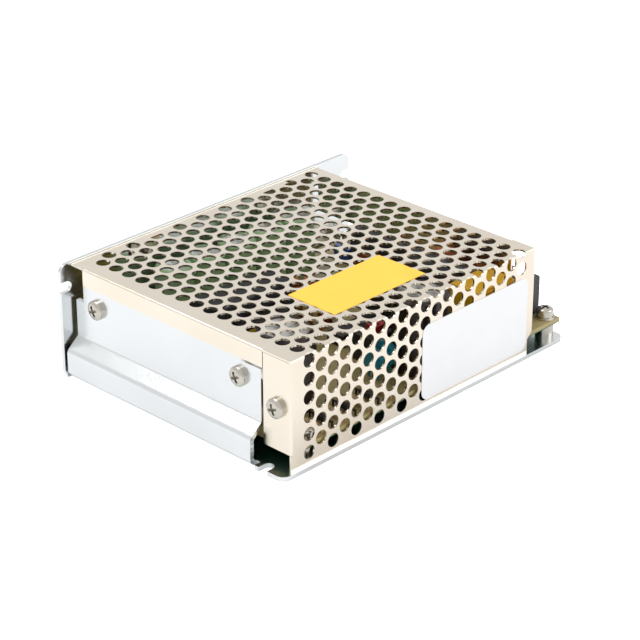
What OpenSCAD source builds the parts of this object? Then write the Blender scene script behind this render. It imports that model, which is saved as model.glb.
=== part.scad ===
// Open-frame switching power supply in a folded aluminium chassis with a
// perforated steel cover. The origin is the middle of the underside, +X runs to
// the terminal end, -Y is the perforated side and +Z is up. All sizes in mm.

/* [Case] */
// Overall length, from the toe of the end wall to the terminal end
case_l = 129; // [126:0.5:150]
// Overall width, from the lip of the base to the outside of the long wall
case_w = 98; // [96:0.5:115]
// Overall height, to the top edge of the long wall
case_h = 38; // [37:0.5:48]

/* [Chassis] */
// Thickness of the chassis sheet
wall_t = 1.5; // [1.2:0.1:2]
// Inside radius of the chassis bends
chassis_bend = 1; // [0.6:0.1:1.6]
// How far the base stands out past the side of the cover
base_lip = 1; // [0.5:0.1:2]
// Radius of the rounded corners of the base and the long wall
corner_r = 3; // [1:0.5:5]
// Height of the upright toe of the end wall
toe_h = 9; // [7.5:0.25:10]
// How far the toe stands out past the upper end wall
toe_out = 4.75; // [3:0.25:6]
// Height of the slope between the toe and the upper end wall
toe_rise = 4; // [3:0.25:5]
// Distance from the side of the cover to the end wall
end_wall_inset = 12.7; // [10:0.1:16]
// Gap between the end wall and the long wall
end_wall_gap = 1.3; // [0.6:0.1:3]
// Width of the high shoulder, from the edge of the end wall to its tongue
high_shoulder_w = 8.1; // [5:0.1:12]
// Distance from the long wall to the tongue
tongue_inset = 4.8; // [3:0.2:8]
// Height of the shoulder beside the long wall
low_shoulder = 25.6; // [20:0.2:30]
// Gap between the flap of the cover and the high shoulder
shoulder_gap = 1.2; // [0.6:0.1:2]
// Width of the open mounting notches
notch_w = 3.5; // [3:0.1:4.5]
// Depth of the open mounting notches
notch_depth = 4.2; // [3.5:0.1:5]
// Distance of the base notches from the edge of the base
notch_edge = 8.6; // [7:0.1:11]
// Height of the wall notches above the underside
notch_h = 30.3; // [24:0.1:31]
// Diameter of the tapped mounting holes
mount_hole_d = 3; // [2.5:0.1:4]
// Spacing of the base mounting holes along the length
base_mount_x = 78; // [60:1:90]
// Spacing of the base mounting holes across the width
base_mount_y = 64; // [50:1:70]
// Spacing of the wall mounting holes
wall_mount_x = 78; // [60:1:90]
// Height of the wall mounting holes
wall_mount_h = 19; // [14:0.5:22]

/* [Cover] */
// Thickness of the cover sheet
cover_t = 0.6; // [0.5:0.05:0.8]
// Inside radius of the cover bends
cover_bend = 0.2; // [0.1:0.05:0.5]
// Length of the bay that the cover leaves open at the terminals
terminal_bay = 16.05; // [14:0.05:17]
// How far the long wall stands above the cover
wall_proud = 0.4; // [0.2:0.1:1]
// Gap between the cover and the long wall
cover_gap = 0.2; // [0.1:0.05:0.4]
// Depth of the flap over the end wall
flap_h = 5.9; // [5:0.1:7]
// Distance from the side of the cover to its flap
flap_inset = 11.5; // [10:0.1:14]
// Width of the side flange beside the end wall
flange_w = 11.2; // [10:0.2:11.6]
// Height of the lower edge of the side flange
flange_bottom = 7; // [5:0.2:9]
// Height of the screw through the side flange
flange_screw_h = 21; // [17:0.5:25]
// Height of the lower edge of the flange above the terminals
far_flange_bottom = 22; // [21.6:0.1:25]
// Distance of the flange above the terminals from both long sides
far_flange_inset = 2; // [1:0.1:10]
// Depth of the notch in the foot of the side at the terminal end
foot_notch = 2.2; // [1:0.1:4]

/* [Perforation] */
// Diameter of the holes
hole_d = 4.5; // [3.5:0.1:4.8]
// Distance between holes in a row along the length
pitch_x = 10; // [9.5:0.1:12]
// Distance between holes in a column across the width
pitch_y = 6; // [5.8:0.1:7]
// Plain margin of the cover before the first column
margin_x = 7.5; // [6:0.1:9]
// Plain margin of the cover before the first row
margin_y = 3.6; // [3:0.1:5]
// Plain margin of the cover at the terminal end
margin_far = 6; // [5:0.1:9]
// Plain margin at the foot of the side
margin_foot = 3.8; // [3:0.1:6]

/* [Labels] */
// Thickness of the labels
label_t = 0.15; // [0.1:0.05:0.3]
// Length of the top label
top_label_l = 40; // [30:1:44]
// Width of the top label
top_label_w = 19.4; // [14:0.5:22]
// Distance of the top label from the near edge of the cover
top_label_x = 30.6; // [24:0.2:36]
// Distance of the top label from the side of the cover
top_label_y = 12.0; // [8:0.2:16]
// Distance of the side label from the terminal end of the cover
side_label_x = 3; // [2:0.1:8]
// Length of the side label
side_label_l = 49.5; // [40:0.5:52]
// Height of the side label
side_label_h = 25.5; // [20:0.5:26]
// Height of the lower edge of the side label
side_label_z = 3.2; // [2:0.1:5]
// Radius of the corners of the side label
side_label_r = 3; // [1:0.5:5]

/* [Circuit board] */
// Thickness of the board
pcb_t = 1.6; // [1.2:0.1:2]
// Height of the spacers between the base and the board
spacer_h = 4.5; // [4:0.25:5]
// Diameter of the spacers
spacer_d = 6; // [5:0.25:7]
// Gap between the board and the side of the cover
pcb_gap = 0.5; // [0.3:0.1:1]
// Distance from the edges of the board to its screws
pcb_screw_edge = 3.4; // [3.2:0.1:4.5]
// Distance from the near edge of the board to its near screws
pcb_screw_near = 7; // [6:0.25:8]

/* [Screws] */
// Diameter of the machine screws
screw_d = 3; // [2.5:0.1:3.2]
// Head diameter of the machine screws
head_d = 6; // [5.4:0.1:6.4]
// Head height of the machine screws
head_h = 2.2; // [1.8:0.1:2.6]
// Clearance of a screw in its hole
screw_gap = 0.2; // [0.1:0.05:0.4]
// Height of the screws in the end wall
device_screw_h = 25.4; // [24:0.2:27]
// Distance from the long wall to the rectifier screw
rectifier_y = 11.3; // [9:0.1:14]
// Distance from the side of the cover to the transistor screw
transistor_y = 21.5; // [20:0.1:24]

/* [Terminal block] */
// Number of terminals
terminal_n = 7; // [5:1:7]
// Distance between terminals
terminal_pitch = 9.5; // [9.5:0.1:9.8]
// Thickness of the barriers
barrier_t = 1.5; // [1.2:0.1:1.8]
// Height of the barriers above the board
barrier_h = 13.6; // [12.6:0.1:13.8]
// Depth of the block
block_depth = 17; // [16:0.25:18]
// Height of the ledge under the terminals
ledge_h = 6; // [5:0.25:6.5]
// Distance from the front of the block to the terminal end
block_setback = 2.2; // [1.5:0.1:3]
// Distance from the block to the side of the cover
block_side = 8.5; // [8.2:0.1:10]

/* [Power parts] */
// Diameter of the input capacitors
bulk_d = 18; // [16:0.5:18.5]
// Height of the input capacitors
bulk_h = 25.4; // [20:0.2:27]
// Diameter of the output capacitors
out_cap_d = 12.5; // [10:0.5:13]
// Height of the output capacitors
out_cap_h = 21; // [16:0.5:25]
// Width of the main transformer core
trafo_w = 32; // [28:0.2:33]
// Height of the main transformer core
trafo_h = 20; // [18:0.5:26]
// Thickness of the main transformer core
trafo_t = 12.7; // [11:0.1:14]
// Outside diameter of the output choke
toroid_d = 19; // [16:0.5:20]
// Height of the output choke core
toroid_h = 9; // [7:0.5:11]
// Length of the line filter capacitor
line_cap_l = 18; // [15:0.5:18.5]
// Width of the line filter capacitor
line_cap_w = 12.5; // [9:0.5:13]
// Height of the line filter capacitor
line_cap_h = 20; // [15:0.5:22]
// Travel of the voltage selector
selector_travel = 4.5; // [3:0.5:5]
// Diameter of the trimmer rotor
rotor_d = 5; // [4:0.1:5.2]

/* [Hidden] */
$fn = 48;
fit = 0.1;
gap = 1.5;
arc_n = 6;

// Planes of the case
x_near = -case_l / 2;
x_far = case_l / 2;
y_side = -case_w / 2 + base_lip;
y_wall = case_w / 2 - wall_t;
z_cover = case_h - wall_proud;
x_end = x_near + toe_out;
x_end_in = x_end + wall_t;
x_cover = x_end - cover_t;
x_cover_far = x_far - terminal_bay;
cover_l = x_cover_far - x_cover;
y_cover_back = y_wall - cover_gap;
y_side_in = y_side + cover_t;
cover_out_r = cover_bend + cover_t;
chassis_out_r = chassis_bend + wall_t;

// Edges of the end wall and of the cover's flaps
end_y1 = y_wall - end_wall_gap;
end_y0 = y_side + end_wall_inset;
tongue_y1 = y_wall - tongue_inset;
tongue_y0 = end_y0 + high_shoulder_w;
flap_bottom = z_cover - flap_h;
flap_y1 = tongue_y1 - 0.7;
flap_y0 = y_side + flap_inset;
flap_w = flap_y1 - flap_y0;
high_shoulder = flap_bottom - shoulder_gap;
ear_y0 = y_side_in + 1;
flange_screw_y = y_side + flange_w / 2;
far_flange_y0 = y_side + 7 + far_flange_inset;
far_flange_w = y_cover_back - far_flange_inset + 0.7 - far_flange_y0;

// Board
z_board = wall_t + spacer_h;
z_top = z_board + pcb_t;
board_x0 = x_end_in + 1.2;
board_x1 = x_far - 0.5;
board_y0 = y_side_in + pcb_gap;
board_y1 = y_wall - 1;
board_screw_x = [board_x0 + pcb_screw_near, board_x1 - pcb_screw_edge];
board_screw_y = [board_y0 + pcb_screw_edge, board_y1 - pcb_screw_edge];
washer_t = 0.8;
spring_t = 0.9;

// Devices on the end wall
pad_t = 0.3;
tab_t = 1.3;
rect_y = y_wall - rectifier_y;
trans_y = y_side + transistor_y;
nut_h = 2.4;
bush_t = 0.8;

// Terminal block
block_x1 = x_far - block_setback;
block_x0 = block_x1 - block_depth;
block_l = terminal_n * terminal_pitch + barrier_t;
block_y0 = y_side + block_side;
block_y1 = block_y0 + block_l;
block_back = 3;
clamp_t = 1;
terminal_tab_t = 0.8;
terminal_x = block_x0 + block_back + 6.2;
function terminal_y(i) = block_y0 + barrier_t / 2 + (i + 0.5) * terminal_pitch;

// Places of the parts on the board, worked out from their neighbours
line_cap_at = [block_x0 - 1.3 - line_cap_l / 2, y_side_in + 3.4 + line_cap_w / 2];
choke_w = 16;
choke_l = 22;
choke_h = 19;
choke_at = [block_x0 - 2.3 - choke_w / 2, line_cap_at[1] + line_cap_w / 2 + 5.2 + choke_l / 2];
fuse_l = 20;
fuse_d = 5.2;
clip_w = 6.6;
fuse_at = [line_cap_at[0] - line_cap_l / 2 - 1.6 - clip_w / 2, y_side_in + 1.6 + fuse_l / 2];
bulk_far_at = [fuse_at[0] - clip_w / 2 - gap - bulk_d / 2, y_side_in + 1.4 + bulk_d / 2];
thermistor_d = 11;
thermistor_t = 4.6;
thermistor_at = [bulk_far_at[0] + bulk_d / 2 + 0.6, fuse_at[1] + fuse_l / 2 + 0.8 + thermistor_d / 2];
bridge_t = 5;
bridge_l = 19;
bridge_h = 14;
bridge_at = [choke_at[0] - choke_w / 2 - 2 - bridge_t / 2, choke_at[1] + 5];
bulk_near_at = [x_end_in + 10.2 + bulk_d / 2, trans_y + 1.5];
selector_l = 17;
selector_w = 8;
selector_h = 9;
selector_at = [bulk_far_at[0] - 2.5, bulk_far_at[1] + bulk_d / 2 + 1 + selector_w / 2];
driver_w = 14;
driver_h = 13;
driver_t = 5;
driver_at = [x_end_in + 2.6 + driver_w / 2, bulk_near_at[1] + bulk_d / 2 + gap + 6.5 + driver_t / 2];
trafo_at = [driver_at[0] + driver_w / 2 + 2 + trafo_w / 2, bulk_near_at[1] + bulk_d / 2 + 25.4];
toroid_at = [trafo_at[0] + trafo_w / 2 + 2 + toroid_d / 2 + 1.2, trafo_at[1] + 1.8];
out_cap_y = y_wall - 2.8 - out_cap_d / 2;
out_cap_pitch = out_cap_d + 1.3;
out_cap_x0 = trafo_at[0] - 2;
out_cap_n = floor((block_x0 - out_cap_x0 + out_cap_d / 2) / out_cap_pitch);
ic_at = [bridge_at[0] - bridge_t / 2 - 1.5 - 9.8, trafo_at[1] - trafo_t / 2 - 6.5 - 1.2 - 3.9];
trimmer_w = 7;
trimmer_h = 5;
trimmer_at = [block_x0 + trimmer_w / 2 + 1, block_y1 + gap + trimmer_w / 2];
led_at = [trimmer_at[0] + trimmer_w / 2 + 2.1, trimmer_at[1] - 0.5];
safety_at = [bulk_far_at[0] - bulk_d / 2 - 2.6, selector_at[1] - 9.6];

// Fillet of radius r at point b of the path a, b, c, as points on its arc
function fillet(a, b, c, r) =
    let (u = (a - b) / norm(a - b), v = (c - b) / norm(c - b),
         half = acos(u * v) / 2, m = (u + v) / norm(u + v),
         centre = b + m * r / sin(half), turn = 90 - half,
         side = sign(u[0] * v[1] - u[1] * v[0]), start = atan2(-m[1], -m[0]))
    [for (k = [0:arc_n]) let (t = start + side * turn * (1 - 2 * k / arc_n))
        centre + r * [cos(t), sin(t)]];

// Path through the points with every inner corner rounded to radius r
function bent(p, r) = concat([p[0]],
    [for (i = [1:len(p) - 2]) each fillet(p[i - 1], p[i], p[i + 1], r)], [p[len(p) - 1]]);

// The path moved sideways by d
function beside(p, d) = [for (i = [0:len(p) - 1])
    let (a = p[max(i - 1, 0)], b = p[min(i + 1, len(p) - 1)], t = (b - a) / norm(b - a))
    p[i] + d * [-t[1], t[0]]];

// Section of a folded sheet of thickness t whose middle follows the points
module fold(points, t, inner_r) {
    line = bent(points, inner_r + t / 2);
    back = beside(line, -t / 2);
    polygon(concat(beside(line, t / 2), [for (i = [len(back) - 1:-1:0]) back[i]]));
}

// Sections drawn in XZ, extruded along +Y from y0 to y1
module along_y(y0, y1) {
    translate([0, y1, 0]) rotate([90, 0, 0]) linear_extrude(y1 - y0) children();
}

// Sections drawn in YZ, extruded along +X from x0 to x1
module along_x(x0, x1) {
    translate([x0, 0, 0]) rotate([90, 0, 90]) linear_extrude(x1 - x0) children();
}

// Outside of a rounded corner, to be cut away: the corner is at the origin and
// the material lies towards +X and +Y
module corner_cut(r) {
    difference() {
        translate([-1, -1]) square(r + 1);
        translate([r, r]) circle(r);
    }
}

// Open notch that runs in from the edge at the origin towards +X
module notch() {
    translate([-1, -notch_w / 2]) square([notch_depth - notch_w / 2 + 1, notch_w]);
    translate([notch_depth - notch_w / 2, 0]) circle(d = notch_w);
}

// Cross recess of a driver, cut down from the origin
module cross_recess(size, depth) {
    for (a = [0, 90]) rotate([0, 0, a])
        translate([-size / 2, -size / 8, -depth]) cube([size, size / 4, depth + 1]);
}

// Pan head screw, seat at the origin, head up and shank down
module pan_screw(d, head, head_height, length) {
    edge = head_height * 0.45;
    difference() {
        union() {
            rotate_extrude() polygon(concat([[0, 0], [head / 2, 0], [head / 2, edge]],
                [for (a = [15:15:75]) [head / 2 * cos(a), edge + (head_height - edge) * sin(a)]],
                [[0, head_height]]));
            translate([0, 0, -length]) cylinder(d = d - 0.1, h = length + 0.1);
        }
        translate([0, 0, head_height]) cross_recess(head * 0.56, head_height * 0.62);
    }
}

module hex_nut(d, across, h) {
    difference() {
        cylinder(d = across / cos(30), h = h, $fn = 6);
        translate([0, 0, -1]) cylinder(d = d, h = h + 2);
    }
}

// Turns its children so that their +Z points to -X, with the origin at x
module out_of_end(x, y, z) {
    translate([x, y, z]) rotate([0, -90, 0]) children();
}

// ---- Case -------------------------------------------------------------------

module base_and_wall() {
    mid = wall_t / 2;
    difference() {
        along_x(x_near, x_far)
            fold([[-case_w / 2, mid], [case_w / 2 - mid, mid], [case_w / 2 - mid, case_h]],
                wall_t, chassis_bend);
        // base outline: near edge behind the toe, rounded corners, notches and holes
        translate([0, 0, -1]) linear_extrude(wall_t + 2) {
            translate([x_near - 1, end_y0 - 1.6])
                square([chassis_out_r + 1, y_wall - chassis_bend - end_y0 + 1.6]);
            translate([x_near, -case_w / 2]) corner_cut(corner_r);
            translate([x_far, -case_w / 2]) mirror([1, 0]) corner_cut(corner_r);
            for (side = [0, 1]) mirror([side, 0])
                translate([x_near, -case_w / 2 + notch_edge]) notch();
            for (sx = [-1, 1], sy = [-1, 1])
                translate([sx * base_mount_x / 2, sy * base_mount_y / 2])
                    circle(d = mount_hole_d);
            for (x = board_screw_x, y = board_screw_y) translate([x, y])
                circle(d = spacer_d - 1.6);
        }
        // long wall: rounded top corners, notches and tapped holes
        along_y(y_wall - 1, case_w / 2 + 1) {
            translate([x_near, case_h]) mirror([0, 1]) corner_cut(corner_r);
            translate([x_far, case_h]) rotate(180) corner_cut(corner_r);
            for (side = [0, 1]) mirror([side, 0]) translate([x_near, notch_h]) notch();
            for (s = [-1, 1]) translate([s * wall_mount_x / 2, wall_mount_h])
                circle(d = mount_hole_d);
        }
        // countersunk holes for the screws that hold the back edge of the cover
        for (x = wall_screw_x) translate([x, case_w / 2, wall_screw_h]) rotate([90, 0, 0]) {
            translate([0, 0, -1]) cylinder(d = screw_d + screw_gap, h = wall_t + 2);
            translate([0, 0, -fit]) cylinder(r1 = 3 + fit, r2 = 3 - wall_t, h = wall_t);
        }
    }
}

module end_wall() {
    mid = wall_t / 2;
    difference() {
        union() {
            along_y(end_y0, end_y1)
                fold([[x_near + chassis_out_r + 1, mid], [x_near + mid, mid],
                    [x_near + mid, toe_h], [x_end + mid, toe_h + toe_rise],
                    [x_end + mid, z_cover - cover_t - cover_bend]], wall_t, chassis_bend);
            // ear set back behind the side flange, for the cover screw
            along_y_ear();
        }
        translate([x_near - 1, tongue_y1, low_shoulder]) cube([toe_out + wall_t + 2, 20, case_h]);
        translate([x_near - 1, end_y0 - 20, high_shoulder])
            cube([toe_out + wall_t + 2, tongue_y0 - end_y0 + 20, case_h]);
        for (y = [rect_y, trans_y]) out_of_end(x_end_in + 1, y, device_screw_h)
            cylinder(d = screw_d + 2 * screw_gap, h = wall_t + 2);
        out_of_end(x_end_in + wall_t + 1, flange_screw_y, flange_screw_h)
            cylinder(d = cover_nut_d + 2 * fit, h = 2 * wall_t + 2);
    }
}

// The ear steps in by one sheet at the edge of the end wall
cover_nut_d = 4.4;
ear_h = 11;
module along_y_ear() {
    z0 = flange_screw_h - ear_h / 2;
    translate([0, 0, z0]) linear_extrude(ear_h)
        fold([[x_end + wall_t / 2, end_y0 + 3.5], [x_end + wall_t / 2, end_y0 + 1.8],
            [x_end_in + wall_t / 2, end_y0 - 0.4], [x_end_in + wall_t / 2, ear_y0]],
            wall_t, 0.3);
}

module chassis() {
    color("gainsboro") union() {
        base_and_wall();
        end_wall();
    }
}

wall_screw_x = [-30, 26];
wall_screw_h = z_cover - 5;
cover_ear_w = 12;
cover_ear_h = 9;

// Hole rows are counted from the back edge of the top, over the bend and down the
// side, in the length of the flat sheet before it was bent
function bend_loss() = 2 * cover_out_r - PI / 2 * (cover_bend + cover_t / 2);
function row_at(j) = margin_y + j * pitch_y / 2;
hole_cols = floor((cover_l - margin_x - margin_far) / (pitch_x / 2));
top_len = y_cover_back - y_side;
flat_len = top_len - bend_loss() + z_cover - wall_t;
hole_rows = floor((flat_len - margin_y - margin_foot) / (pitch_y / 2));

module top_holes() {
    for (i = [0:hole_cols], j = [0:hole_rows])
        if ((i + j) % 2 == 1 && row_at(j) < top_len + hole_d / 2)
            translate([x_cover + margin_x + i * pitch_x / 2, y_cover_back - row_at(j)])
                circle(d = hole_d, $fn = 32);
}

module side_holes() {
    for (i = [0:hole_cols], j = [0:hole_rows])
        if ((i + j) % 2 == 1 && row_at(j) > top_len - bend_loss() - hole_d / 2)
            translate([x_cover + margin_x + i * pitch_x / 2,
                    z_cover - (row_at(j) - top_len + bend_loss())])
                circle(d = hole_d, $fn = 32);
}

module cover_sheet() {
    mid = cover_t / 2;
    difference() {
        along_x(x_cover, x_cover_far)
            fold([[y_cover_back, z_cover - mid], [y_side + mid, z_cover - mid],
                [y_side + mid, wall_t]], cover_t, cover_bend);
        // room for the bends of the flap, the side flange and the far flange
        translate([x_cover - 1, flap_y0, z_cover - cover_t - 1])
            cube([cover_out_r + 1, flap_w, cover_t + 2]);
        translate([x_cover - 1, y_side - 1, flange_bottom])
            cube([cover_out_r + 1, cover_t + 2, z_cover - cover_t - fit - flange_bottom]);
        translate([x_cover_far - cover_out_r, far_flange_y0, z_cover - cover_t - 1])
            cube([cover_out_r + 1, far_flange_w, cover_t + 2]);
        // notch with a sloping top in the foot of the side at the terminal end
        along_y(y_side - 1, y_side_in + 1)
            polygon([[x_cover_far - foot_notch, 0], [x_cover_far - foot_notch, 6.3],
                [x_cover_far + 0.01, 8.6], [x_cover_far + 1, 0]]);
        translate([0, 0, z_cover - cover_out_r]) linear_extrude(cover_out_r + 1) top_holes();
        along_y(y_side - 1, y_side + cover_out_r) side_holes();
    }
}

module cover() {
    mid = cover_t / 2;
    color("antiquewhite") union() {
        cover_sheet();
        along_y(flap_y0, flap_y1)
            fold([[x_cover + cover_out_r + 1, z_cover - mid], [x_cover + mid, z_cover - mid],
                [x_cover + mid, flap_bottom]], cover_t, cover_bend);
        along_y(far_flange_y0, far_flange_y0 + far_flange_w)
            fold([[x_cover_far - cover_out_r - 1, z_cover - mid],
                [x_cover_far - mid, z_cover - mid],
                [x_cover_far - mid, far_flange_bottom]], cover_t, cover_bend);
        difference() {
            translate([0, 0, flange_bottom])
                linear_extrude(z_cover - cover_t - fit - flange_bottom)
                    fold([[x_cover + cover_out_r + 1, y_side + mid], [x_cover + mid, y_side + mid],
                        [x_cover + mid, y_side + flange_w]], cover_t, cover_bend);
            out_of_end(x_cover + 2, flange_screw_y, flange_screw_h)
                cylinder(d = screw_d + 2 * screw_gap, h = 4);
        }
        // ears bent down along the long wall
        difference() {
            for (x = wall_screw_x) along_x(x - cover_ear_w / 2, x + cover_ear_w / 2)
                fold([[y_cover_back - 3, z_cover - mid], [y_cover_back - mid, z_cover - mid],
                    [y_cover_back - mid, z_cover - cover_ear_h]], cover_t, cover_bend);
            for (x = wall_screw_x) translate([x, case_w / 2, wall_screw_h]) rotate([90, 0, 0])
                cylinder(d = screw_d, h = wall_t + 4);
        }
    }
}

module side_label() {
    x0 = x_cover_far - side_label_x - side_label_l;
    color("white") along_y(y_side - label_t, y_side) difference() {
        translate([x0, side_label_z]) square([side_label_l, side_label_h]);
        for (mx = [0, 1], mz = [0, 1])
            translate([x0 + mx * side_label_l, side_label_z + mz * side_label_h])
                mirror([mx, 0]) mirror([0, mz]) corner_cut(side_label_r);
    }
}

module top_label() {
    color("gold") translate([x_cover + top_label_x, y_side + top_label_y, z_cover])
        cube([top_label_l, top_label_w, label_t]);
}

// ---- Board and its fixings ----------------------------------------------------

module at_board_screws(z) {
    for (x = board_screw_x, y = board_screw_y) translate([x, y, z]) children();
}

module circuit_board() {
    color("darkkhaki") translate([0, 0, z_board]) linear_extrude(pcb_t) difference() {
        translate([board_x0, board_y0]) square([board_x1 - board_x0, board_y1 - board_y0]);
        for (x = board_screw_x, y = board_screw_y) translate([x, y])
            circle(d = screw_d + 2 * screw_gap);
        for (y = [rect_y, trans_y], k = [-1:1]) translate([lead_x, y + k * 2.54]) circle(d = 1.4);
        for (i = [0:terminal_n - 1]) translate([tab_leg_x, terminal_y(i)]) circle(d = 1.8);
    }
}

module board_spacers() {
    color("silver") at_board_screws(wall_t) difference() {
        union() {
            cylinder(d = spacer_d, h = spacer_h);
            translate([0, 0, -wall_t]) cylinder(d = spacer_d - 1.6 - fit, h = wall_t + fit);
        }
        translate([0, 0, -wall_t - 1]) cylinder(d = screw_d, h = spacer_h + wall_t + 2);
    }
}

module washer(outer, t) {
    difference() {
        cylinder(d = outer, h = t);
        translate([0, 0, -1]) cylinder(d = screw_d + screw_gap, h = t + 2);
    }
}

module flat_washers() {
    color("silver") at_board_screws(z_top) washer(head_d + 0.6, washer_t);
}

// Split ring with its gap cut on a slant
module spring_washers() {
    color("silver") at_board_screws(z_top + washer_t) difference() {
        washer(head_d - 0.4, spring_t);
        rotate([30, 0, 40]) translate([0, -0.2, -2]) cube([head_d, 0.4, 5]);
    }
}

module board_screws() {
    stack = washer_t + spring_t;
    color("silver") at_board_screws(z_top + stack)
        pan_screw(screw_d, head_d - 0.4, head_h, stack + pcb_t + 4);
}

// ---- Devices on the end wall ----------------------------------------------------

lead_x = x_end_in + pad_t + 2.4;

module insulating_pads() {
    color("lightgrey") for (y = [rect_y, trans_y])
        translate([x_end_in, y, device_screw_h]) rotate([90, 0, 90]) linear_extrude(pad_t)
            difference() {
                translate([-6.5, -14]) square([13, 18]);
                circle(d = screw_d + 2 * screw_gap);
            }
}

// Flat-backed power device with its tab against the pad, held by one screw
module power_device(y) {
    translate([x_end_in + pad_t, y, device_screw_h]) {
        rotate([90, 0, 90]) linear_extrude(tab_t) difference() {
            translate([-5, -12]) square([10, 15]);
            circle(d = 4.2);
            for (s = [-1, 1]) translate([s * 5, -2.6]) square([1.4, 2], center = true);
        }
        translate([tab_t, -5, -12.6]) cube([3.2, 10, 8.8]);
        for (k = [-1:1]) translate([2, k * 2.54 - 0.4, z_board - 1.4 - device_screw_h])
            cube([0.6, 0.8, device_screw_h - 12.4 - z_board + 1.4]);
    }
}

module power_transistor() { color("dimgray") power_device(trans_y); }
module output_rectifier() { color("dimgray") power_device(rect_y); }

module insulating_bushes() {
    color("ivory") for (y = [rect_y, trans_y])
        translate([x_end_in + pad_t + tab_t, y, device_screw_h]) rotate([0, 90, 0]) difference() {
            union() {
                cylinder(d = 6.6, h = bush_t);
                translate([0, 0, fit - tab_t]) cylinder(d = 4, h = tab_t);
            }
            translate([0, 0, -tab_t - 1]) cylinder(d = screw_d + screw_gap, h = tab_t + bush_t + 2);
        }
}

module device_nuts() {
    color("silver") for (y = [rect_y, trans_y])
        translate([x_end_in + pad_t + tab_t + bush_t, y, device_screw_h]) rotate([0, 90, 0])
            hex_nut(screw_d, 5.5, nut_h);
}

module device_screws() {
    color("silver") for (y = [rect_y, trans_y]) out_of_end(x_end, y, device_screw_h)
        rotate([0, 0, 25]) pan_screw(screw_d, head_d + 0.4, head_h, 8);
}

module cover_screw() {
    color("silver") out_of_end(x_cover, flange_screw_y, flange_screw_h)
        rotate([0, 0, 20]) pan_screw(screw_d, head_d + 0.4, head_h, 6);
}

// Pressed-in nut: its collar fills the step between the ear and the side flange
module cover_nut() {
    color("silver") out_of_end(x_end_in, flange_screw_y, flange_screw_h) difference() {
        union() {
            cylinder(d = 6.4, h = wall_t);
            translate([0, 0, -wall_t]) cylinder(d = cover_nut_d, h = wall_t + fit);
        }
        translate([0, 0, -wall_t - 1]) cylinder(d = screw_d, h = 2 * wall_t + 2);
    }
}

module wall_screws() {
    color("silver") for (x = wall_screw_x)
        translate([x, case_w / 2, wall_screw_h]) rotate([90, 0, 0]) difference() {
            union() {
                cylinder(r1 = 3 - fit, r2 = 3 - wall_t, h = wall_t - fit);
                cylinder(d = screw_d - 0.1, h = 5);
            }
            rotate([180, 0, 0]) cross_recess(3, 1);
        }
}

// ---- Terminal block ---------------------------------------------------------

tab_leg_x = block_x0 + block_back + 1.2;

module terminal_block() {
    color([0.16, 0.16, 0.17]) difference() {
        union() {
            translate([block_x0, block_y0, z_top]) cube([block_depth, block_l, ledge_h]);
            translate([block_x0, block_y0, z_top]) cube([block_back, block_l, barrier_h]);
            for (i = [0:terminal_n]) let (y = block_y0 + i * terminal_pitch)
                along_y(y, y + barrier_t) difference() {
                    translate([block_x0, z_top]) square([block_depth, barrier_h]);
                    translate([block_x1, z_top + barrier_h]) rotate(180) corner_cut(1.6);
                }
        }
        for (i = [0:terminal_n - 1]) translate([0, terminal_y(i), z_top]) {
            translate([terminal_x, 0, ledge_h - 5]) cylinder(d = 3.9, h = 10);
            translate([tab_leg_x - 0.6, -0.8, -1]) cube([1.2, 1.6, ledge_h + 2]);
        }
    }
}

module terminal_tabs() {
    color("goldenrod") for (i = [0:terminal_n - 1]) translate([0, terminal_y(i), z_top]) {
        difference() {
            translate([tab_leg_x - 0.4, -3.4, ledge_h])
                cube([block_x1 - tab_leg_x - 0.8, 6.8, terminal_tab_t]);
            translate([terminal_x, 0, 0]) cylinder(d = 3.9, h = ledge_h + 3);
        }
        translate([tab_leg_x - 0.4, -0.6, -pcb_t - 1]) cube([0.8, 1.2, ledge_h + pcb_t + 1.1]);
    }
}

module terminal_clamps() {
    color("silver") for (i = [0:terminal_n - 1])
        translate([terminal_x, terminal_y(i), z_top + ledge_h + terminal_tab_t]) difference() {
            translate([-3.4, -3.4, 0]) cube([6.8, 6.8, clamp_t]);
            translate([0, 0, -1]) cylinder(d = 3.9, h = clamp_t + 2);
            for (s = [-1, 1]) translate([s * 3.4, 0, 0]) rotate([0, s * 20, 0])
                cube([1.2, 8, 0.8], center = true);
        }
}

module terminal_screws() {
    color("silver") for (i = [0:terminal_n - 1])
        translate([terminal_x, terminal_y(i), z_top + ledge_h + terminal_tab_t + clamp_t])
            rotate([0, 0, 17 * i]) pan_screw(3.6, 6.6, 2.4, 6);
}

// ---- Input side -----------------------------------------------------------------

module fuse_tube() {
    color([0.8, 0.88, 0.86]) translate([fuse_at[0], fuse_at[1], z_top + 5.2]) rotate([90, 0, 0])
        difference() {
            cylinder(d = fuse_d - 0.5, h = fuse_l - 2, center = true);
            cylinder(d = fuse_d - 1.7, h = fuse_l, center = true);
        }
}

module fuse_caps() {
    color("silver") for (s = [-1, 1])
        translate([fuse_at[0], fuse_at[1] + s * (fuse_l / 2 - 5), z_top + 5.2])
            rotate([-90 * s, 0, 0]) difference() {
                cylinder(d = fuse_d, h = 5);
                translate([0, 0, -1]) cylinder(d = fuse_d - 0.5 + fit, h = 5.2);
            }
}

// Spring clip: two cheeks that follow the fuse cap, on a foot
module fuse_clips() {
    color("silver") for (s = [-1, 1])
        translate([fuse_at[0], fuse_at[1] + s * (fuse_l / 2 - 2.6), z_top])
            rotate([90, 0, 0]) linear_extrude(4, center = true) difference() {
                union() {
                    translate([0, 5.2]) circle(d = fuse_d + 1.2);
                    translate([-clip_w / 2, 0]) square([clip_w, 0.6]);
                    translate([-1.5, 0]) square([3, 3]);
                }
                translate([0, 5.2]) circle(d = fuse_d + 2 * fit / 5);
                translate([-1.6, 5.2]) square([3.2, 6]);
            }
}

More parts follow.
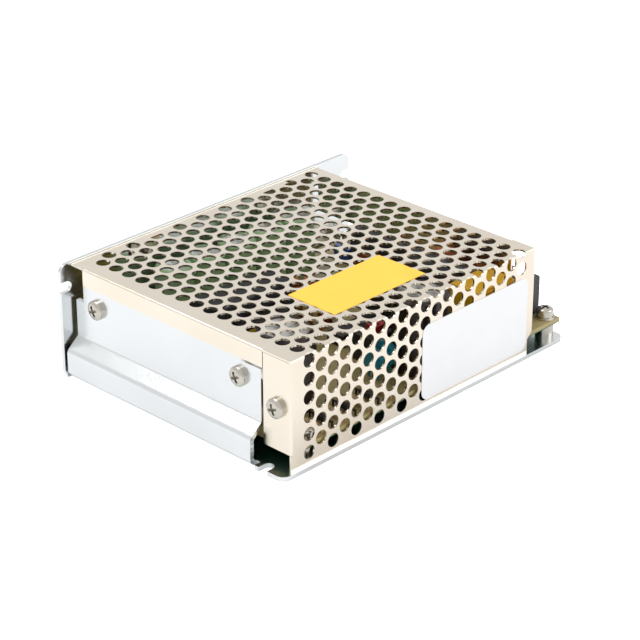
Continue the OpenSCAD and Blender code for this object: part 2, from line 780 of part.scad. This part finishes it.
// Disc on two leads, standing across the board
module disc_part(at, d, t, lift, along) {
    translate([at[0], at[1], z_top]) rotate([0, 0, along]) {
        translate([0, 0, lift + d / 2]) rotate([0, 90, 0]) rotate_extrude() {
            translate([0, -t / 2 + 0.6]) square([d / 2, t - 1.2]);
            translate([0, -t / 2]) square([d / 2 - 1, t]);
        }
        for (s = [-1, 1]) translate([0, s * d / 4, 0]) cylinder(d = 0.8, h = lift + d / 4);
    }
}

module thermistor() {
    color([0.15, 0.16, 0.15]) disc_part(thermistor_at, thermistor_d, thermistor_t, 2, 0);
}

module safety_capacitors() {
    color([0.2, 0.55, 0.65]) {
        disc_part(safety_at, 9, 3.6, 2.5, 0);
        disc_part([safety_at[0] - 4.6, safety_at[1]], 7.5, 3.2, 2.5, 0);
    }
}

// Moulded box with bevelled top edges and feet
module box_capacitor(at, l, w, h) {
    translate([at[0], at[1], z_top]) {
        translate([-w / 2, -l / 2, 0.6]) cube([w, l, h - 1.4]);
        translate([-w / 2 + 0.6, -l / 2 + 0.6, h - 0.8]) cube([w - 1.2, l - 1.2, 0.8]);
        for (sx = [-1, 1], sy = [-1, 1]) translate([sx * (w / 2 - 1), sy * (l / 2 - 1), 0.31])
            cube([1.6, 1.6, 0.61], center = true);
    }
}

module line_filter_capacitor() {
    color("gold") box_capacitor(line_cap_at, line_cap_w, line_cap_l, line_cap_h);
}

// Closed ferrite frame standing in YZ, with a leg at each side for its coils
choke_leg = 5;
choke_lift = 0.2;
module line_choke_core() {
    color([0.2, 0.2, 0.21]) translate([choke_at[0] - choke_leg / 2, choke_at[1], z_top + choke_lift])
        rotate([90, 0, 90]) linear_extrude(choke_leg) difference() {
            translate([-choke_l / 2, 0]) square([choke_l, choke_h - 1]);
            translate([-choke_l / 2 + choke_leg, choke_leg - 1.4])
                square([choke_l - 2 * choke_leg, choke_h + 0.8 - 2 * choke_leg]);
        }
}

module line_choke_windings() {
    h = choke_h + 0.6 - 2 * choke_leg;
    coil = choke_l / 2 - choke_leg - 0.8;
    color("peru") for (s = [-1, 1])
        translate([choke_at[0], choke_at[1] + s * (choke_l / 2 - choke_leg / 2), z_top + choke_lift + choke_leg - 1.3])
            difference() {
                union() {
                    cylinder(r = coil + choke_leg / 2 - 1, h = h);
                    for (z = [0, h - 1]) translate([-choke_w / 2, -choke_l / 4 + 0.3, z])
                        cube([choke_w, choke_l / 2 - 0.6, 1]);
                }
                translate([-choke_leg / 2 - fit, -choke_leg / 2 - fit, -1])
                    cube([choke_leg + 2 * fit, choke_leg + 2 * fit, h + 2]);
                translate([-choke_w, s * (choke_l / 4 - 0.2) + (s > 0 ? 0 : -choke_l), -1])
                    cube([2 * choke_w, choke_l, 0.1]);
            }
}

module bridge_rectifier() {
    color([0.13, 0.13, 0.14]) translate([bridge_at[0], bridge_at[1], z_top]) {
        translate([-bridge_t / 2, 0, 2.5]) rotate([90, 0, 90]) linear_extrude(bridge_t)
            difference() {
                translate([-bridge_l / 2, 0]) square([bridge_l, bridge_h]);
                translate([-bridge_l / 2, bridge_h]) mirror([0, 1]) rotate(45) square(3.4, center = true);
                translate([0, bridge_h - 4]) circle(d = 3.2);
            }
        for (k = [-1.5:1.5]) translate([0, k * 5.08, 0]) cylinder(d = 1.1, h = 2.6);
    }
}

// Aluminium can with a crimp near its foot and a scored top
module can(at, d, h) {
    translate([at[0], at[1], z_top]) difference() {
        rotate_extrude() polygon([[0, 0], [d / 2 - 0.8, 0], [d / 2 - 0.3, 0.6], [d / 2 - 0.3, 2.2],
            [d / 2 - 0.9, 2.8], [d / 2 - 0.3, 3.4], [d / 2 - 0.3, h - 1], [d / 2 - 1, h - 0.2],
            [0, h - 0.2]]);
        for (a = [0, 60, 120]) rotate([0, 0, a])
            translate([-d * 0.3, -0.2, h - 0.5]) cube([d * 0.6, 0.4, 1]);
    }
}

// Shrink sleeve that covers the side of a can and laps over both of its edges
module sleeve(at, d, h) {
    translate([at[0], at[1], z_top]) rotate_extrude()
        polygon([[d / 2 - 0.25, 0], [d / 2, 0.5], [d / 2, h - 0.7], [d / 2 - 0.6, h],
            [d / 2 - 1.7, h], [d / 2 - 1.7, h - 0.18], [d / 2 - 0.95, h - 0.18],
            [d / 2 - 0.25, h - 0.9]]);
}

module input_capacitor_cans() {
    color("silver") for (at = [bulk_far_at, bulk_near_at]) can(at, bulk_d, bulk_h);
}

module input_capacitor_sleeves() {
    color([0.2, 0.16, 0.14]) for (at = [bulk_far_at, bulk_near_at]) sleeve(at, bulk_d, bulk_h);
}

// ---- Transformers ---------------------------------------------------------------

// Pair of E cores standing in XZ, middle leg upright; w, h and t are its outside
module e_core(at, w, h, t) {
    yoke = w * 0.16;
    leg = w * 0.28;
    translate([at[0], at[1] + t / 2, z_top + 1.2]) rotate([90, 0, 0]) linear_extrude(t)
        difference() {
            translate([-w / 2, 0]) square([w, h]);
            for (s = [-1, 1]) translate([s * (w / 2 + leg / 2 - yoke) / 2, h / 2])
                square([w / 2 - yoke - leg / 2, h - 2 * yoke], center = true);
        }
}

// Spool round the middle leg with its pin rails under the core
module e_bobbin(at, w, h, t) {
    yoke = w * 0.16;
    leg = w * 0.28;
    spool = w - 2 * yoke - 2 * fit;
    translate([at[0], at[1], z_top + 1.2 + yoke]) difference() {
        union() {
            for (z = [fit, h - 2 * yoke - 1 - fit])
                translate([-spool / 2, -t / 2 - 6.5, z]) cube([spool, t + 13, 1]);
            translate([-leg / 2 - 1, -t / 2 - 1, fit])
                cube([leg + 2, t + 2, h - 2 * yoke - 2 * fit]);
            for (s = [-1, 1]) translate([-w / 2 + 1, s * (t / 2 + 4.5) - 2, -yoke - 1.2])
                cube([w - 2, 4, yoke + 1.2 + fit + 0.5]);
        }
        translate([-leg / 2 - fit, -t / 2 - fit, -10])
            cube([leg + 2 * fit, t + 2 * fit, h + 20]);
    }
}

// Taped winding between the flanges of the spool, with rounded corners
module e_winding(at, w, h, t) {
    yoke = w * 0.16;
    leg = w * 0.28;
    x = w / 2 - yoke - 0.8;
    y = t / 2 + 5.6;
    translate([at[0], at[1], z_top + 1.2 + yoke + 1 + 2 * fit])
        linear_extrude(h - 2 * yoke - 2 - 4 * fit) difference() {
            square([2 * x, 2 * y], center = true);
            for (mx = [0, 1], my = [0, 1]) mirror([mx, 0]) mirror([0, my])
                translate([-x, -y]) corner_cut(2);
            square([leg + 2 + 2 * fit, t + 2 + 2 * fit], center = true);
        }
}

module transformer_core() { color([0.2, 0.2, 0.21]) e_core(trafo_at, trafo_w, trafo_h, trafo_t); }
module transformer_bobbin() { color([0.14, 0.13, 0.12]) e_bobbin(trafo_at, trafo_w, trafo_h, trafo_t); }
module transformer_winding() { color("gold") e_winding(trafo_at, trafo_w, trafo_h, trafo_t); }
module driver_core() { color([0.2, 0.2, 0.21]) e_core(driver_at, driver_w, driver_h, driver_t); }
module driver_bobbin() { color([0.14, 0.13, 0.12]) e_bobbin(driver_at, driver_w, driver_h, driver_t); }
module driver_winding() { color("gold") e_winding(driver_at, driver_w, driver_h, driver_t); }

// ---- Output side ----------------------------------------------------------------

wire_d = 1;
turns = 16;

module output_choke_core() {
    color("khaki") translate([toroid_at[0], toroid_at[1], z_top + wire_d + fit]) difference() {
        cylinder(d = toroid_d - 2 * wire_d, h = toroid_h);
        translate([0, 0, -1]) cylinder(d = toroid_d / 2, h = toroid_h + 2);
    }
}

// Turns of wire wrapped round the ring
module output_choke_winding() {
    inner = toroid_d / 4 - fit;
    outer = toroid_d / 2 - wire_d + fit;
    color("peru") translate([toroid_at[0], toroid_at[1], z_top]) for (k = [0:turns - 1])
        rotate([0, 0, k * 320 / turns]) rotate([90, 0, 0])
            linear_extrude(wire_d, center = true) difference() {
                translate([inner - wire_d, 0])
                    square([outer - inner + 2 * wire_d, toroid_h + 2 * wire_d + 2 * fit]);
                translate([inner, wire_d]) square([outer - inner, toroid_h + 2 * fit]);
            }
}

function out_cap_at(k) = [out_cap_x0 + k * out_cap_pitch, out_cap_y];

module output_capacitor_cans() {
    color("silver") for (k = [0:out_cap_n - 1]) can(out_cap_at(k), out_cap_d, out_cap_h);
}

module output_capacitor_sleeves() {
    color([0.66, 0.78, 0.5]) for (k = [0:out_cap_n - 1]) sleeve(out_cap_at(k), out_cap_d, out_cap_h);
}

module control_ic() {
    color([0.13, 0.13, 0.14]) translate([ic_at[0], ic_at[1], z_top]) {
        difference() {
            translate([-9.8, -3.2, 0.6]) cube([19.6, 6.4, 3.4]);
            translate([-9.8, 0, 3.2]) cylinder(d = 2, h = 2);
        }
        for (s = [-1, 1], k = [0:7]) translate([-8.89 + k * 2.54, s * 3.5, 0]) {
            translate([-0.25, -0.15, 0]) cube([0.5, 0.3, 2.4]);
            translate([-0.6, -0.4, 2.1]) cube([1.2, 0.8, 0.3]);
        }
    }
}

// ---- Small parts ------------------------------------------------------------------

// Axial part lying on the board, its leads bent down at both ends
module axial(at, d, l, along) {
    z = d / 2 + 0.4;
    translate([at[0], at[1], z_top]) rotate([0, 0, along]) {
        translate([-l / 2, 0, z]) rotate([0, 90, 0]) rotate_extrude()
            polygon([[0, 0], [d / 2 - 0.3, 0], [d / 2, 0.4], [d / 2, 1.6], [d / 2 - 0.2, 2],
                [d / 2 - 0.2, l - 2], [d / 2, l - 1.6], [d / 2, l - 0.4], [d / 2 - 0.3, l], [0, l]]);
        for (s = [-1, 1]) {
            translate([s * (l / 2 + 1), 0, z]) rotate([0, 90, 0])
                cylinder(d = 0.7, h = 2.7, center = true);
            translate([s * (l / 2 + 2), 0, 0]) cylinder(d = 0.7, h = z + 0.35);
        }
    }
}

// Row of axial parts in front of the near capacitor, diodes and resistors in turn
axial_pitch = 5;
row_x0 = board_screw_x[0] + screw_d + 1.8;
row_y = y_side_in + 6.9;
row_n = floor((safety_at[0] - 8 - row_x0) / axial_pitch);
back_rows = [for (k = [0:2]) [x_end_in + 6 + k * 4.6, driver_at[1] + driver_t / 2 + 15]];

module resistors() {
    color([0.78, 0.66, 0.48]) {
        for (k = [0:2:row_n]) axial([row_x0 + k * axial_pitch, row_y], 2.5, 6.3, 90);
        for (p = back_rows) axial(p, 3, 9, 90);
    }
}

module diodes() {
    color([0.14, 0.14, 0.15]) {
        for (k = [1:2:row_n]) axial([row_x0 + k * axial_pitch, row_y], 2.7, 5.2, 90);
    }
}

module film_capacitors() {
    color([0.55, 0.26, 0.14]) {
        box_capacitor([driver_at[0], back_rows[0][1] + 7.8 + 2.5], 5, 11, 12);
        box_capacitor([block_x0 - 6, choke_at[1] + choke_l / 2 + 18], 10, 5, 11);
        box_capacitor([block_x0 - 6, choke_at[1] + choke_l / 2 + 8.5], 7.2, 4, 8);
    }
}

// Half-round plastic body on three leads
module to92(at, along) {
    translate([at[0], at[1], z_top]) rotate([0, 0, along]) {
        translate([0, 0, 2.6]) intersection() {
            cylinder(d = 4.8, h = 4.6);
            translate([-2.4, -1.6, 0]) cube([4.8, 4, 4.6]);
        }
        for (k = [-1:1]) translate([k * 1.27, 0, 0]) cylinder(d = 0.5, h = 2.7);
    }
}

module small_transistors() {
    color([0.13, 0.13, 0.14]) {
        for (k = [0:1]) to92([bulk_near_at[0] + bulk_d / 2 + 4 + 6 * k, ic_at[1] - 1], 0);
        to92([block_x0 - 13, choke_at[1] + choke_l / 2 + 8], 90);
    }
}

// ---- Voltage selector -----------------------------------------------------------

knob_l = 5;
knob_w = 4;
selector_run = knob_l + selector_travel + 2 * fit;

module selector_body() {
    color([0.12, 0.12, 0.13]) translate([selector_at[0], selector_at[1], z_top]) difference() {
        translate([-selector_l / 2, -selector_w / 2, 0]) cube([selector_l, selector_w, selector_h]);
        translate([-selector_run / 2 - 1, -knob_w / 2 - 1 - fit, selector_h - 4.2])
            cube([selector_run + 2, knob_w + 2 + 2 * fit, 3]);
        translate([-selector_run / 2, -knob_w / 2 - fit, selector_h - 2])
            cube([selector_run, knob_w + 2 * fit, 3]);
    }
}

// Knob on a foot that is trapped under the top of the body
module selector_slider() {
    x0 = selector_at[0] - selector_run / 2 + fit;
    color("firebrick") translate([x0, selector_at[1], z_top + selector_h - 4.2]) difference() {
        union() {
            translate([-1 + fit, -knob_w / 2 - 1 + fit, 0])
                cube([knob_l + 2 - 2 * fit, knob_w + 2 - 2 * fit, 2.9]);
            translate([0, -knob_w / 2, 0]) cube([knob_l, knob_w, 6.6]);
        }
        translate([knob_l / 2, 0, 6.6]) cube([1, knob_w - 1.2, 1.6], center = true);
    }
}

// ---- Output trimmer and lamp -----------------------------------------------------

module trimmer_body() {
    color("royalblue") translate([trimmer_at[0], trimmer_at[1], z_top]) difference() {
        translate([-trimmer_w / 2, -trimmer_w / 2, 0]) cube([trimmer_w, trimmer_w, trimmer_h]);
        translate([0, 0, trimmer_h - 1.4]) cylinder(d = rotor_d + 4 * fit, h = 3);
        translate([0, 0, 1]) cylinder(d = 2 + 2 * fit, h = 10);
    }
}

// Disc with a cross slot on a stub that turns in the body
module trimmer_rotor() {
    color("ivory") translate([trimmer_at[0], trimmer_at[1], z_top]) difference() {
        union() {
            translate([0, 0, trimmer_h - 1.4 + fit]) cylinder(d = rotor_d, h = 1.8);
            translate([0, 0, 1 + fit]) cylinder(d = 2, h = trimmer_h - 2);
        }
        translate([0, 0, trimmer_h + 0.5]) cross_recess(rotor_d * 0.7, 1);
    }
}

module indicator_led() {
    color("limegreen") translate([led_at[0], led_at[1], z_top]) {
        for (s = [-1, 1]) translate([s * 1.27, 0, 0]) cylinder(d = 0.5, h = 3.1);
        translate([0, 0, 3]) cylinder(d = 3.8, h = 1);
        translate([0, 0, 3.9]) cylinder(d = 3, h = 2.6);
        translate([0, 0, 6.5]) sphere(d = 3);
    }
}

chassis();
cover();
side_label();
top_label();
circuit_board();
board_spacers();
board_screws();
spring_washers();
flat_washers();
device_screws();
cover_screw();
cover_nut();
wall_screws();
insulating_pads();
insulating_bushes();
device_nuts();
power_transistor();
output_rectifier();
terminal_block();
terminal_tabs();
terminal_clamps();
terminal_screws();
fuse_tube();
fuse_caps();
fuse_clips();
thermistor();
line_filter_capacitor();
line_choke_core();
line_choke_windings();
bridge_rectifier();
input_capacitor_cans();
input_capacitor_sleeves();
transformer_core();
transformer_bobbin();
transformer_winding();
driver_core();
driver_bobbin();
driver_winding();
output_choke_core();
output_choke_winding();
output_capacitor_cans();
output_capacitor_sleeves();
safety_capacitors();
control_ic();
resistors();
diodes();
film_capacitors();
small_transistors();
selector_body();
selector_slider();
trimmer_body();
trimmer_rotor();
indicator_led();
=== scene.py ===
import math

import bpy
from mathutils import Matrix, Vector


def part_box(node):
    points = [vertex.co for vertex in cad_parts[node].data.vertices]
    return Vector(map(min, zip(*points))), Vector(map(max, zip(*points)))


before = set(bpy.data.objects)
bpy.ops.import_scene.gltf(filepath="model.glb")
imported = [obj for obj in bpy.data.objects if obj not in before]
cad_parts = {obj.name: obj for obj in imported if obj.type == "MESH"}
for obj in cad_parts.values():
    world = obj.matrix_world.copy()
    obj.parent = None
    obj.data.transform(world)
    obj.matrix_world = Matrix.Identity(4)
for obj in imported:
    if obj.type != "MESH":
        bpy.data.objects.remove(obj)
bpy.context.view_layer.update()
bpy.ops.object.select_all(action="DESELECT")


# Camera: a long lens that looks down on the near corner of the cover, so that the mesh
# side, the end wall and the top all show.
look_down = 26.24          # degrees below level
look_round = 44.06 - 90    # degrees about Z
camera_data = bpy.data.cameras.new("camera")
camera_data.sensor_width = 36
camera_data.lens = 131.3
camera_data.clip_start = 0.05
camera = bpy.data.objects.new("camera", camera_data)
camera.location = (-0.4761, -0.4619, 0.3401)
camera.rotation_euler = (math.radians(90 - look_down), 0, math.radians(look_round))
bpy.context.collection.objects.link(camera)
bpy.context.scene.camera = camera


# Chassis: sheet aluminium, cut, folded and left in its mill finish. It gives soft
# white reflections, drawn out a little along the direction in which it was rolled.
def tint(code):
    """The linear colour of an sRGB hex value."""
    parts = [int(code[i:i + 2], 16) / 255 for i in (1, 3, 5)]
    return [p / 12.92 if p <= 0.04045 else ((p + 0.055) / 1.055) ** 2.4 for p in parts] + [1]


def add(tree, kind, settings=None, **links):
    """Adds a node: settings are its own and its sockets' values, links are the sockets fed."""
    made = tree.nodes.new(kind)
    for key, value in (settings or {}).items():
        if key in made.inputs:
            made.inputs[key].default_value = value
        else:
            setattr(made, key, value)
    for key, source in links.items():
        at = int(key[1:]) if key[1:].isdigit() else key.replace("_", " ")
        tree.links.new(source, made.inputs[at])
    return made


def new_material(name, **settings):
    """A material with its Principled shader set; returns the material, its tree, shader and place."""
    material = bpy.data.materials.new(name)
    material.use_nodes = True
    tree = material.node_tree
    shader = tree.nodes["Principled BSDF"]
    for key, value in settings.items():
        shader.inputs[key.replace("_", " ")].default_value = value
    place = add(tree, "ShaderNodeTexCoord").outputs["Object"]
    return material, tree, shader, place


def coat(material, *nodes):
    """Gives the CAD nodes this material."""
    for name in nodes:
        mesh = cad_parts[name].data
        mesh.materials.clear()
        mesh.materials.append(material)


def rolled_metal(name, bright, dull, rough, grain, depth):
    """Sheet metal: its tone and roughness drift in patches a few centimetres wide, and a
    rolling grain about half a millimetre apart runs along X."""
    material, tree, shader, place = new_material(name, Metallic=1.0)
    patches = add(tree, "ShaderNodeTexNoise", {"Scale": 38.0, "Detail": 2.0}, Vector=place)
    tone = add(tree, "ShaderNodeMix", {"data_type": "RGBA"}, _0=patches.outputs[0])
    tone.inputs[6].default_value = tint(bright)
    tone.inputs[7].default_value = tint(dull)
    tree.links.new(tone.outputs[2], shader.inputs["Base Color"])
    spread = add(tree, "ShaderNodeMapRange", {"To Min": rough[0], "To Max": rough[1]},
                 Value=patches.outputs[0])
    tree.links.new(spread.outputs[0], shader.inputs["Roughness"])
    drawn = add(tree, "ShaderNodeMapping", {"Scale": (0.06, 1.0, 1.0)}, Vector=place)
    lines = add(tree, "ShaderNodeTexNoise", {"Scale": grain, "Detail": 3.0},
                Vector=drawn.outputs[0])
    bump = add(tree, "ShaderNodeBump", {"Strength": depth, "Distance": 0.0002},
               Height=lines.outputs[0])
    tree.links.new(bump.outputs[0], shader.inputs["Normal"])
    return material


coat(rolled_metal("mill_finish_aluminium", "#E9ECED", "#DDE0E1", (0.16, 0.27), 1800.0, 0.25),
     "chassis")


# Circuit board: paper laminate, punched and drilled, tan on the side of the parts and
# green with solder resist underneath. It stands on riveted spacers with plated screws.
z_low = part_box("circuit_board")[0].z
resist_depth = 0.0003      # m up from the underside that reads as solder resist
laminate, tree, shader, place = new_material("paper_phenolic_laminate", Roughness=0.42)
fibre = add(tree, "ShaderNodeTexNoise", {"Scale": 420.0, "Detail": 4.0}, Vector=place)
tan = add(tree, "ShaderNodeMix", {"data_type": "RGBA"}, _0=fibre.outputs[0])
tan.inputs[6].default_value = tint("#B5A777")
tan.inputs[7].default_value = tint("#9C8B58")
height = add(tree, "ShaderNodeSeparateXYZ", Vector=place)
under = add(tree, "ShaderNodeMath", {"operation": "LESS_THAN"}, _0=height.outputs[2])
under.inputs[1].default_value = z_low + resist_depth
resist = add(tree, "ShaderNodeMix", {"data_type": "RGBA"}, _0=under.outputs[0], _6=tan.outputs[2])
resist.inputs[7].default_value = tint("#1F5C43")
tree.links.new(resist.outputs[2], shader.inputs["Base Color"])
coat(laminate, "circuit_board")


def plated(name, colour, rough):
    """Bright plating on small turned or pressed pieces, with a faint uneven film."""
    material, tree, shader, place = new_material(name, Metallic=1.0)
    film = add(tree, "ShaderNodeTexNoise", {"Scale": 500.0, "Detail": 2.0}, Vector=place)
    spread = add(tree, "ShaderNodeMapRange", {"To Min": rough - 0.06, "To Max": rough + 0.08},
                 Value=film.outputs[0])
    tree.links.new(spread.outputs[0], shader.inputs["Roughness"])
    tone = add(tree, "ShaderNodeMix", {"data_type": "RGBA"}, _0=film.outputs[0])
    tone.inputs[6].default_value = tint(colour[0])
    tone.inputs[7].default_value = tint(colour[1])
    tree.links.new(tone.outputs[2], shader.inputs["Base Color"])
    return material


nickel_screw = plated("nickel_plated_steel_screws", ("#CFCBC2", "#B9B5AB"), 0.22)
coat(nickel_screw, "board_spacers", "board_screws", "spring_washers", "flat_washers")


# Mains input: glass fuse in spring clips, thermistor disc, yellow film capacitor in its
# moulded box, common mode choke with two copper coils, and a black bridge rectifier.
def moulded(name, colours, rough, grain=900.0, depth=0.15):
    """Plastic, lacquer, ceramic or sleeve: two close tones in a fine mottle and a faint bump."""
    material, tree, shader, place = new_material(name, Roughness=rough)
    mottle = add(tree, "ShaderNodeTexNoise", {"Scale": grain, "Detail": 3.0}, Vector=place)
    tone = add(tree, "ShaderNodeMix", {"data_type": "RGBA"}, _0=mottle.outputs[0])
    tone.inputs[6].default_value = tint(colours[0])
    tone.inputs[7].default_value = tint(colours[1])
    tree.links.new(tone.outputs[2], shader.inputs["Base Color"])
    bump = add(tree, "ShaderNodeBump", {"Strength": depth, "Distance": 0.0001},
               Height=mottle.outputs[0])
    tree.links.new(bump.outputs[0], shader.inputs["Normal"])
    return material


coat(moulded("yellow_polyester_box", ("#E3B21E", "#D9A514"), 0.32), "line_filter_capacitor")
coat(moulded("black_ceramic_disc", ("#22241F", "#171914"), 0.5), "thermistor")
coat(moulded("ferrite", ("#3A3A3C", "#2B2B2D"), 0.62, 1500.0, 0.4),
     "line_choke_core", "transformer_core", "driver_core")
coat(nickel_screw, "fuse_caps", "fuse_clips")
glass, _, shader, _ = new_material("fuse_glass", Roughness=0.05)
shader.inputs["Transmission Weight"].default_value = 0.9
shader.inputs["Base Color"].default_value = tint("#E6EFEA")
coat(glass, "fuse_tube")
black_epoxy = moulded("black_moulded_epoxy", ("#232325", "#1A1A1C"), 0.45)
coat(black_epoxy, "bridge_rectifier")


def wound(name, colours, rough, turns_per_m):
    """Enamelled wire laid side by side: ridges run round the coil, one for each turn."""
    material, tree, shader, place = new_material(name, Metallic=0.7, Roughness=rough)
    wires = add(tree, "ShaderNodeTexWave", {"Scale": turns_per_m, "Distortion": 0.4,
                "bands_direction": "Z"}, Vector=place)
    tone = add(tree, "ShaderNodeMix", {"data_type": "RGBA"}, _0=wires.outputs[1])
    tone.inputs[6].default_value = tint(colours[0])
    tone.inputs[7].default_value = tint(colours[1])
    tree.links.new(tone.outputs[2], shader.inputs["Base Color"])
    bump = add(tree, "ShaderNodeBump", {"Strength": 0.8, "Distance": 0.0003},
               Height=wires.outputs[1])
    tree.links.new(bump.outputs[0], shader.inputs["Normal"])
    return material


coat(wound("enamelled_copper", ("#6B2F14", "#C7743A"), 0.3, 260.0),
     "line_choke_windings", "output_choke_winding")


# Electrolytic capacitors: drawn aluminium cans, crimped near the foot and scored on top,
# in plain shrink sleeves, dark brown on the input and light green on the output.
coat(plated("bright_aluminium_can", ("#E2E3E2", "#D2D3D2"), 0.3),
     "input_capacitor_cans", "output_capacitor_cans")
coat(moulded("dark_brown_sleeve", ("#2E211B", "#241A15"), 0.28), "input_capacitor_sleeves")
coat(moulded("light_green_sleeve", ("#A9C99A", "#9ABD8D"), 0.28), "output_capacitor_sleeves")


# Transformers: ferrite E cores round a black spool, their windings held under yellow
# polyester tape.
coat(moulded("black_bobbin", ("#28251F", "#1D1B17"), 0.42), "transformer_bobbin", "driver_bobbin")
coat(moulded("yellow_polyester_tape", ("#E8CF5A", "#DFC24A"), 0.3, 300.0),
     "transformer_winding", "driver_winding")
coat(moulded("painted_iron_powder", ("#D9CF86", "#CBBF74"), 0.5), "output_choke_core")


# Small parts: dipped and moulded, in the colours that such parts are sold in.
coat(moulded("blue_dipped_ceramic", ("#2F93A6", "#257F92"), 0.3), "safety_capacitors")
coat(moulded("tan_resistor_lacquer", ("#C9AE85", "#B99C70"), 0.35), "resistors")
coat(black_epoxy, "control_ic", "diodes", "small_transistors")
coat(moulded("brown_film_box", ("#7C3A1E", "#6B2F17"), 0.3), "film_capacitors")


# Power devices: two flat-backed packages held against the end wall, each through a pad
# and a shoulder bush, with a screw from outside and a nut inside.
coat(black_epoxy, "power_transistor", "output_rectifier")
coat(moulded("grey_silicone_pad", ("#B9B9B5", "#A9A9A4"), 0.7), "insulating_pads")
coat(moulded("ivory_nylon", ("#E4DCC2", "#D8CFB2"), 0.45), "insulating_bushes")
coat(nickel_screw, "device_screws", "device_nuts")


# Terminal strip: black moulded barriers, tinned brass tabs, square clamps and pan screws.
coat(moulded("black_barrier_moulding", ("#3B393C", "#2E2C2F"), 0.5), "terminal_block")
coat(plated("tinned_brass", ("#D9CFA6", "#C8BB8A"), 0.3), "terminal_tabs")
coat(nickel_screw, "terminal_clamps", "terminal_screws")


# Selector, trimmer and lamp: small mouldings soldered to the board. The selector slides
# and the trimmer, beside the terminal strip, turns.
coat(black_epoxy, "selector_body")
coat(moulded("red_nylon", ("#C2281F", "#AE2019"), 0.4), "selector_slider")
coat(moulded("blue_trimmer_case", ("#2C57A8", "#244A93"), 0.4), "trimmer_body")
coat(moulded("white_trimmer_rotor", ("#E9E6DC", "#DAD6C9"), 0.4), "trimmer_rotor")
coat(moulded("green_lamp_lens", ("#7FC46A", "#6DB458"), 0.2), "indicator_led")


# Cover: thin cold-rolled steel, punched flat with its rows of holes, folded and nickel
# plated, so it is warmer and brighter than the aluminium below it.
coat(rolled_metal("nickel_plated_steel_sheet", "#F1E9DC", "#E6DBC9", (0.14, 0.26), 2200.0, 0.2),
     "cover")
coat(nickel_screw, "cover_screw", "cover_nut", "wall_screws")


# Labels: vinyl film stuck on the cover, one yellow on the top and one white on the side.
# The real ones are printed, and these are left plain.
coat(moulded("yellow_vinyl", ("#F6C945", "#F2BF36"), 0.45, 120.0, 0.05), "top_label")
coat(moulded("white_vinyl", ("#F0F1F2", "#E9EAEB"), 0.4, 120.0, 0.05), "side_label")


# Floor, backdrop and lights: a white table under soft panels.
floor_size = 6             # m
floor_drop = 0.0002        # m below the base, so that the two faces do not fight
bpy.ops.mesh.primitive_plane_add(size=floor_size, location=(0, 0, -floor_drop))
floor = bpy.context.object
floor.name = "floor"
paper, tree, shader, _ = new_material("white_paper", Roughness=0.9)
shader.inputs["Base Color"].default_value = tint("#F4F4F5")
shader.inputs["Emission Color"].default_value = (1, 1, 1, 1)
rays = add(tree, "ShaderNodeLightPath")
tree.links.new(rays.outputs["Is Camera Ray"], shader.inputs["Emission Strength"])
floor.data.materials.append(paper)

world = bpy.data.worlds.new("studio")
bpy.context.scene.world = world
world.use_nodes = True
sky = world.node_tree.nodes["Background"]
sky.inputs["Color"].default_value = (1, 1, 1, 1)
sky.inputs["Strength"].default_value = 0.85


def panel(name, place, aim, size, power):
    """A square soft panel that looks at a point."""
    data = bpy.data.lights.new(name, "AREA")
    data.size = size
    data.energy = power
    made = bpy.data.objects.new(name, data)
    made.location = place
    made.rotation_euler = (Vector(aim) - Vector(place)).to_track_quat("-Z", "Y").to_euler()
    bpy.context.collection.objects.link(made)


panel("key_panel", (-0.3, 0.35, 0.9), (0, 0, 0), 0.6, 5.0)
panel("fill_panel", (0.6, -0.8, 0.6), (0, 0, 0), 0.8, 3.0)

bpy.context.scene.view_settings.view_transform = "Standard"
